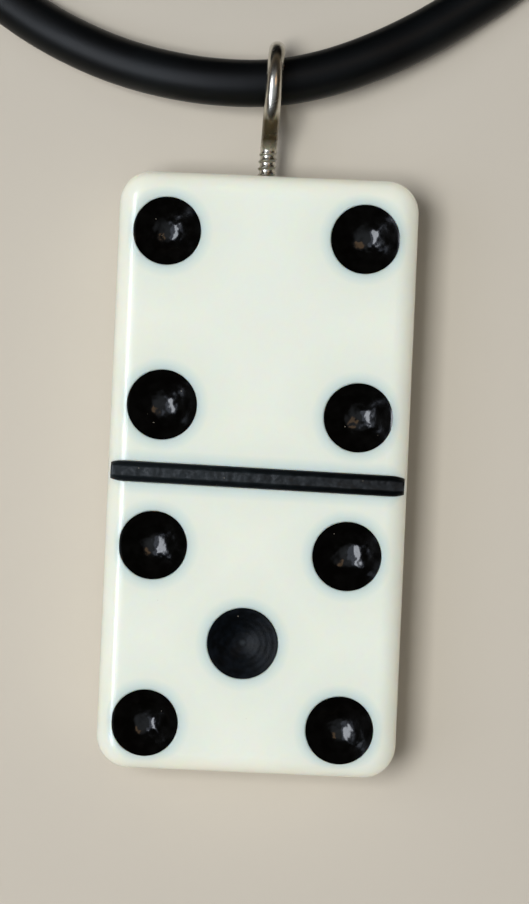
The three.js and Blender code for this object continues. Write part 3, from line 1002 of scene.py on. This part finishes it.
def metal(name, base, roughness, grain, bump, stretch=(1, 1, 1), shaded_span=None):
    """A metal uneven over the given size in mm, drawn out by stretch; shaded_span: Y span of
    painted shade.
    """
    made, tree, shader = material(name, base, roughness, Metallic=1.0)
    where = add(tree, "ShaderNodeTexCoord").outputs["Object"]
    where = add(tree, "ShaderNodeMapping", {"Vector": where, "Scale": stretch})
    lines = add(
        tree, "ShaderNodeTexNoise", {"Vector": where, "Scale": 1 / (grain * MM), "Detail": 3.0}
    )
    uneven = add(
        tree,
        "ShaderNodeMapRange",
        {"Value": lines, "To Min": roughness * 0.7, "To Max": roughness * 1.4},
    )
    tree.links.new(uneven.outputs[0], shader.inputs["Roughness"])
    tarnish = add(tree, "ShaderNodeTexNoise", {"Vector": where, "Scale": 1 / (2.2 * MM)})
    dull = add(tree, "ShaderNodeMapRange", {"Value": tarnish, "From Min": 0.45, "From Max": 0.75})
    shade = mixed(tree, dull.outputs[0], base, "#A39D90")
    # painted shade: darker olive brown over the span along Y, for the dim reflection there
    if shaded_span:
        along = add(tree, "ShaderNodeSeparateXYZ", {0: where})
        low, high = shaded_span
        edges = [
            add(
                tree,
                "ShaderNodeMapRange",
                {"Value": along.outputs["Y"], "From Min": start * MM, "From Max": full * MM},
            )
            for start, full in ((low - SHADE_FADE, low), (high + SHADE_FADE, high))
        ]
        near = add(tree, "ShaderNodeMath", dict(enumerate(edges)), operation="MINIMUM")
        shade = mixed(tree, near.outputs[0], shade, "#6E6450")
    tree.links.new(shade, shader.inputs["Base Color"])
    relief = add(
        tree, "ShaderNodeBump", {"Height": lines, "Strength": bump, "Distance": RELIEF * MM}
    )
    tree.links.new(relief.outputs[0], shader.inputs["Normal"])
    return made


# painted shade just above the thread, where the wire reflects the shaded floor
nickel = metal("Bright_nickel_on_steel_wire", "#DAD6CC", 0.24, 0.9, 0.35, shaded_span=(28.2, 29.6))
brushed = metal("Brushed_stainless_steel", "#C6C8C9", 0.3, 0.14, 0.2, stretch=(1, 1, 0.2))
plated = metal("Bright_plating_on_findings", "#C8C9CA", 0.14, 0.7, 0.25)
print("three metals")

# %% Sweeping a tube


def tube(line, radius, around=20, closed=False):
    """A closed tube along a line of points; the ends of an open one are rounded over."""
    line = [Vector(p) for p in line]
    count = len(line)
    if closed:
        ahead = [(line[(k + 1) % count] - line[k - 1]).normalized() for k in range(count)]
    else:
        ahead = [
            (line[min(k + 1, count - 1)] - line[max(k - 1, 0)]).normalized()
            for k in range(count)
        ]
    side = ahead[0].orthogonal().normalized()
    rings = []
    for place, along in zip(line, ahead):
        side = (side - along * side.dot(along)).normalized()
        rings.append((place, along, side, radius))
    if not closed:
        start, end = rings[0], rings[-1]
        for k in range(1, 5):
            a = math.radians(90 * k / 5)
            r, step = radius * math.cos(a), radius * math.sin(a)
            rings.insert(0, (start[0] - start[1] * step, start[1], start[2], r))
            rings.append((end[0] + end[1] * step, end[1], end[2], r))
    points, faces = [], []
    for place, along, side, r in rings:
        other = along.cross(side)
        for i in range(around):
            a = 2 * math.pi * i / around
            points.append(place + side * (r * math.cos(a)) + other * (r * math.sin(a)))
    total = len(rings)
    for j in range(total if closed else total - 1):
        for i in range(around):
            a, b = j * around + i, j * around + (i + 1) % around
            c, d = (a + around) % len(points), (b + around) % len(points)
            faces.append((a, b, d, c))
    if not closed:
        faces.append(tuple(range(around))[::-1])
        faces.append(tuple(range(len(points) - around, len(points))))
    return points, faces


print("tube of", len(tube([(0, 0, 0), (1, 0, 0)], 0.5)[1]), "faces for one straight step")

# %% Joining and cutting
JOIN, CUT, KEEP = "UNION", "DIFFERENCE", "INTERSECT"


def combined(name, steps):
    """One mesh from closed shapes, each joined to those before it or cut from them."""
    base = None
    for operation, shape in steps:
        piece = mesh_piece(name if base is None else "part", *shape)
        faces_out(piece)
        if base is None:
            base = piece
            continue
        combine(base, operation, piece)
    return base


def combine(base, operation, other):
    """Joins or cuts with another object, which is used up."""
    change = base.modifiers.new("Step", "BOOLEAN")
    change.operation, change.solver, change.object = operation, "EXACT", other
    settle(base)
    bpy.data.objects.remove(other)


def in_metal(piece, finish, sharp=40):
    """Gives a piece one finish and its sharp edges."""
    piece.data.materials.clear()
    piece.data.materials.append(finish)
    return settle(piece, sharp)


def shift(piece, place):
    """Moves a finished mesh by a matrix that is in millimetres."""
    piece.data.transform(Matrix.Scale(MM, 4) @ place @ Matrix.Scale(1 / MM, 4))


print("combined, combine, in_metal and shift are ready")

# %% The screw eye
WIRE = 0.7
RING_R = 4.25 - WIRE
NECK = LENGTH / 2 + 2.9
THREAD_LONG = 7 + 2.9
BEND_END, SLIT, BEND_PULL, BEND_STEPS = 140, -163, 2.6, 15
inputs = {thread_inputs["Long"]: THREAD_LONG, thread_inputs["Material"]: nickel}
shank = from_tree("shank", thread_tree, inputs, sharp=60)
shift(shank, lean @ Matrix.Translation((0, NECK - THREAD_LONG, 0)) @ upright_to_y)


def on_ring(degree):
    """A place on the eye's ring, turned from its far side towards its upper side."""
    a = math.radians(degree)
    return Vector((0, EYE_Y + RING_R * math.cos(a), RING_R * math.sin(a)))


start, arrive = Vector((0, NECK - 0.6, 0)), on_ring(BEND_END)
bend = math.radians(BEND_END)
leave = Vector((0, BEND_PULL, 0))
turn_in = Vector((0, math.sin(bend), -math.cos(bend))) * BEND_PULL
eye_line = [start]
for k in range(1, BEND_STEPS):
    t = k / BEND_STEPS
    eye_line.append(
        start * (2 * t**3 - 3 * t**2 + 1)
        + leave * (t**3 - 2 * t**2 + t)
        + arrive * (3 * t**2 - 2 * t**3)
        + turn_in * (t**3 - t**2)
    )
eye_line += [on_ring(degree) for degree in range(BEND_END, SLIT, -5)]
screw_eye = mesh_piece("screw_eye_wire", *tube(eye_line, WIRE, 28), place=lean)
faces_out(screw_eye)
screw_eye.data.materials.append(nickel)
combine(screw_eye, JOIN, shank)
settle(screw_eye, sharp=55)
print("screw eye of", len(screw_eye.data.polygons), "faces")

# %% [markdown]
# ## End caps and rings
#
# Each end of the cord is glued into a turned metal cup with a wire loop soldered on. The cup is a
# surface of revolution, so a lathe profile with softened edges is exact. A jump ring is a turn of
# wire whose ends meet at a fine saw cut, which shows on the real one, so its tube stops a hair
# short.

# %% Caps and rings
CAP_RADIUS, CAP_BORE = 2.75, 2.3
cup_profile = [
    (0, CAP_LENGTH), (CAP_RADIUS - 0.7, CAP_LENGTH), (CAP_RADIUS - 0.3, CAP_LENGTH - 0.08),
    (CAP_RADIUS - 0.08, CAP_LENGTH - 0.3), (CAP_RADIUS, CAP_LENGTH - 0.7), (CAP_RADIUS, 1.7),
    (CAP_RADIUS - 0.14, 1.6), (CAP_RADIUS - 0.14, 1.35), (CAP_RADIUS, 1.25),
    (CAP_RADIUS, 0.15), (CAP_RADIUS - 0.05, 0.04), (CAP_RADIUS - 0.15, 0),
    (CAP_BORE + 0.12, 0), (CAP_BORE, 0.12), (CAP_BORE, CAP_LENGTH - CAP_END),
    (0, CAP_LENGTH - CAP_END),
]  # fmt: skip


def circle(radius, gap=0.0, steps=48):
    """Points round the Z axis; a gap in degrees leaves the ring open at +X."""
    start, span = math.radians(gap / 2), math.radians(360 - gap)
    angles = [start + span * k / steps for k in range(steps + 1 if gap else steps)]
    return [(radius * math.cos(a), radius * math.sin(a), 0) for a in angles]


def moved_to(shape, place):
    """A shape of (points, faces) moved by a matrix."""
    points, faces = shape
    return [place @ Vector(p) for p in points], faces


def place_at(place, heading):
    """A matrix that turns about Z by a heading in degrees and then moves."""
    return Matrix.Translation(place) @ Matrix.Rotation(math.radians(heading), 4, "Z")


LINK_R, LINK_WIRE, LINK_Z = 2.25, 0.4, 2.7
LOOP_WIRE = 0.42
SAW_CUT, SAW_CUT_AT = 3, 140
RING_TURN, CLASP_TURN, END_TURN = -30, -75, 155
quarter_x, quarter_y = (Matrix.Rotation(math.radians(90), 4, axis) for axis in "XY")
loop_place = Matrix.Translation((0, 0, CAP_LENGTH + CAP_LOOP)) @ quarter_y
stood_up = quarter_x @ Matrix.Rotation(math.radians(SAW_CUT_AT), 4, "Z")
ENDS = ((-1, "left", "clasp_ring", RING_TURN), (1, "right", "end_ring", END_TURN))
findings = {}
for side, word, ring_name, heading in ENDS:
    mouth, loop, along = cap_axis(side)
    place = place_at(mouth, math.degrees(math.atan2(along.y, along.x))) @ quarter_y
    cup = moved_to(lathe(cup_profile[::-1], 64), place)
    eyelet = moved_to(tube(circle(CAP_LOOP), LOOP_WIRE, 16, closed=True), place @ loop_place)
    cap = combined(f"end_cap_turned_{word}", [(JOIN, cup), (JOIN, eyelet)])
    findings[f"end_cap_{word}"] = in_metal(cap, brushed)
    out = Matrix.Rotation(math.radians(heading), 4, "Z") @ Vector((LINK_R, 0, 0))
    place = place_at((loop.x + out.x, loop.y + out.y, LINK_Z), heading) @ stood_up
    ring = moved_to(tube(circle(LINK_R, gap=SAW_CUT), LINK_WIRE, 16), place)
    findings[ring_name] = in_metal(combined(f"{ring_name}_wire", [(JOIN, ring)]), plated)
print("caps and rings:", ", ".join(findings))

# %% [markdown]
# ## The lobster clasp
#
# A cast claw with an eye, a thumb lever on a rivet, and a small spring. The castings are ovals
# given thickness, cut and joined, and tumbled until their edges are round. A bevel after the
# booleans would trip over their short edges, so each oval is made with its edges already rounded,
# and each hole is cut with a drum that flares at both faces.

# %% Rounded ovals and plain slabs


SOFT_STEPS = 5
PAST_FACE = 3.0


def rounded(x, y, rx, ry, half, soft, steps=72, hole=False):
    """An oval disc of twice the half thickness with edges rounded by soft, or a flared cutter."""
    rings = []
    for k in range(SOFT_STEPS + 1):
        a = math.radians(90 * k / SOFT_STEPS)
        grow = soft * (1 - math.sin(a)) * (1 if hole else -1)
        ring = []
        for i in range(steps):
            turn = 2 * math.pi * i / steps
            ring.append((x + (rx + grow) * math.cos(turn), y + (ry + grow) * math.sin(turn)))
        rings.append((ring, -half + soft * (1 - math.cos(a))))
    if hole:
        rings.insert(0, (rings[0][0], -PAST_FACE))
    return stacked(rings + [(ring, -z) for ring, z in reversed(rings)])


def slab(x0, y0, x1, y1, low=-PAST_FACE, high=PAST_FACE):
    """A plain block between two corners, from low to high."""
    corners = [(x0, y0), (x1, y0), (x1, y1), (x0, y1)]
    return stacked([(corners, low), (corners, high)])


print("rounded ovals and slabs are ready")


# %% The clasp's parts
# It is drawn flat, with its eye at the origin and its nose along +X, and then moved into place.
HALF, LEVER_HALF, EYE_HALF = 1.5, 1.1, 0.6
PIVOT_X, PIVOT_Y = 1.95, -1.25
PIN_R, PIN_HOLE, PIN_SOFT = 0.45, 0.52, 0.09
oval = {"x": 6, "y": 0, "rx": 4.6, "ry": 3.2}
inside = {"x": 6.3, "y": 0, "rx": 2.9, "ry": 1.8, "hole": True}
to_pivot = Matrix.Translation((PIVOT_X, PIVOT_Y, 0))
rivet_hole = rounded(PIVOT_X, PIVOT_Y, PIN_HOLE, PIN_HOLE, HALF, 0.06, 32, hole=True)
claw = [
    (JOIN, rounded(**oval, half=HALF, soft=0.85)),
    (JOIN, rounded(PIVOT_X + 0.15, PIVOT_Y, 1.5, 1.5, HALF - 0.01, 0.4, 48)),
    (CUT, slab(3.3, -4, 8.6, -0.2)),
    (JOIN, slab(0.9, -1.5, 2.6, 1.5, -0.9, 0.9)),
    (JOIN, rounded(0, 0, 1.9, 1.9, EYE_HALF, 0.35, 56)),
    (CUT, rounded(**inside, half=HALF, soft=0.55)),
    (CUT, slab(0.9, -4, 3.5, -0.05, -1, 1)),
    (CUT, rounded(0, 0, 1.1, 1.1, EYE_HALF, 0.25, 48, hole=True)),
    (CUT, rivet_hole),
]
boss = [(0, 0.11), (1, 0.11), (1, 0.89), (0, 0.89)]
lever = [
    (JOIN, rounded(**oval, half=LEVER_HALF, soft=0.6)),
    (CUT, rounded(**inside, half=LEVER_HALF, soft=0.4)),
    (KEEP, slab(3.5, -4, 8.35, -0.4)),
    (JOIN, slab(PIVOT_X, -2.4, 3.9, -1.3, 0.1, 0.9)),
    (JOIN, rounded(4.1, -3.1, 0.75, 0.75, LEVER_HALF - 0.01, 0.35, 40)),
    (JOIN, moved_to(lathe(boss, 40), to_pivot)),
    (CUT, rivet_hole),
]
print("claw in", len(claw), "steps, lever in", len(lever))

# %% The clasp in its place
left_loop = cap_axis(-1)[1]
reach = LINK_R + math.sqrt(LINK_R**2 - (LINK_Z - HALF) ** 2)
ring_way = Matrix.Rotation(math.radians(RING_TURN), 4, "Z") @ Vector((reach, 0, 0))
clasp_at = place_at((left_loop.x + ring_way.x, left_loop.y + ring_way.y, HALF), CLASP_TURN)
for name, node, steps in (
    ("clasp_claw", "clasp_body", claw),
    ("clasp_thumb_lever", "clasp_lever", lever),
):
    piece = combined(name, steps)
    shift(piece, clasp_at)
    in_metal(piece, plated)
    findings[node] = flat_faces(piece)

face_r, face_z = PIN_R - PIN_SOFT, HALF - PIN_SOFT
rivet = [(0, -HALF), (face_r, -HALF), (PIN_R, -face_z), (PIN_R, face_z), (face_r, HALF), (0, HALF)]
SPRING_R, SPRING_WIRE, SPRING_LOW, SPRING_HIGH, SPRING_STEPS = 0.72, 0.11, -0.75, -0.1884, 48
coils = []
for k in range(SPRING_STEPS + 1):
    share = k / SPRING_STEPS
    a = 2 * 2 * math.pi * share
    rise = (SPRING_HIGH - SPRING_LOW) * share
    coils.append((SPRING_R * math.cos(a), SPRING_R * math.sin(a), SPRING_LOW + rise))
for name, node, shape in (
    ("clasp_rivet_pin", "clasp_rivet", lathe(rivet, 32)),
    ("clasp_spring_wire", "clasp_spring", tube(coils, SPRING_WIRE, 10)),
):
    placed = moved_to(shape, clasp_at @ to_pivot)
    findings[node] = in_metal(combined(name, [(JOIN, placed)]), plated)
print("findings of", sum(len(p.data.polygons) for p in findings.values()), "faces")

# %% [markdown]
# ## Extruded rubber
#
# The cord is solid black rubber, extruded through a die. It has a satin skin: a broad bluish sheen
# along its upper left side, hardly any sharp reflection, and a bloom of fine dust and lint that
# greys it. Faint lines from the die run along it, too fine to show here, so only their sheen does.

# %% Rubber material
rubber, tree, shader = material(
    "Extruded_rubber_black", "#050708", 0.45, IOR=1.5, Specular_IOR_Level=0.21
)
where = add(tree, "ShaderNodeTexCoord").outputs["Object"]
bloom = add(
    tree, "ShaderNodeTexNoise", {"Vector": where, "Scale": 1 / (6 * MM), "Detail": 4.0}
)
greyed = add(tree, "ShaderNodeMapRange", {"Value": bloom, "From Min": 0.4, "From Max": 0.7})
skin = mixed(tree, greyed.outputs[0], "#030405", "#070A0C")
lint = dust(tree, where, 1.1, 0.14, 0.1)
faint = add(tree, "ShaderNodeMath", {0: lint, 1: 0.3}, operation="MULTIPLY")
tree.links.new(mixed(tree, faint, skin, "#6E6A63"), shader.inputs["Base Color"])
pores = add(
    tree, "ShaderNodeTexNoise", {"Vector": where, "Scale": 1 / (0.25 * MM), "Detail": 3.0}
)
relief = add(
    tree, "ShaderNodeBump", {"Height": pores, "Strength": 0.3, "Distance": RELIEF * MM}
)
tree.links.new(relief.outputs[0], shader.inputs["Normal"])
rubber_cord.data.materials.append(rubber)

floor.data.materials.append(material("Plain_floor", "#CDC5BA", 0.9, Specular_IOR_Level=0.1)[0])
print("rubber and floor")

# %% [markdown]
# ## Riding on the frame
#
# Every finished piece is tied to the body that it moves with, and the CAD part that it stands for
# is hidden. The cord is one piece for four CAD solids, and the caps, rings and clasp go with it.

# %% Bodies, and the CAD parts hidden
LINK_BODIES = {
    "clasp_ring": "clasp_link",
    "end_ring": "end_link",
    "clasp_body": "clasp",
    "clasp_rivet": "clasp",
    "clasp_spring": "clasp",
    "clasp_lever": "lever",
}
on_tile = [(tile_body, "tile_body"), (divider, "divider_paint"), (screw_eye, "screw_eye")]
for piece, node in on_tile + pip_pieces:
    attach(piece, "tile")
    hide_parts(node)
for node, piece in findings.items():
    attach(piece, LINK_BODIES.get(node, "cord"))
    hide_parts(node)
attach(rubber_cord, "cord")
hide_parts("cord_run", "cord_coil", "cord_tail_left", "cord_tail_right")
print("tied", 1 + len(on_tile) + len(pip_pieces) + len(findings), "pieces")
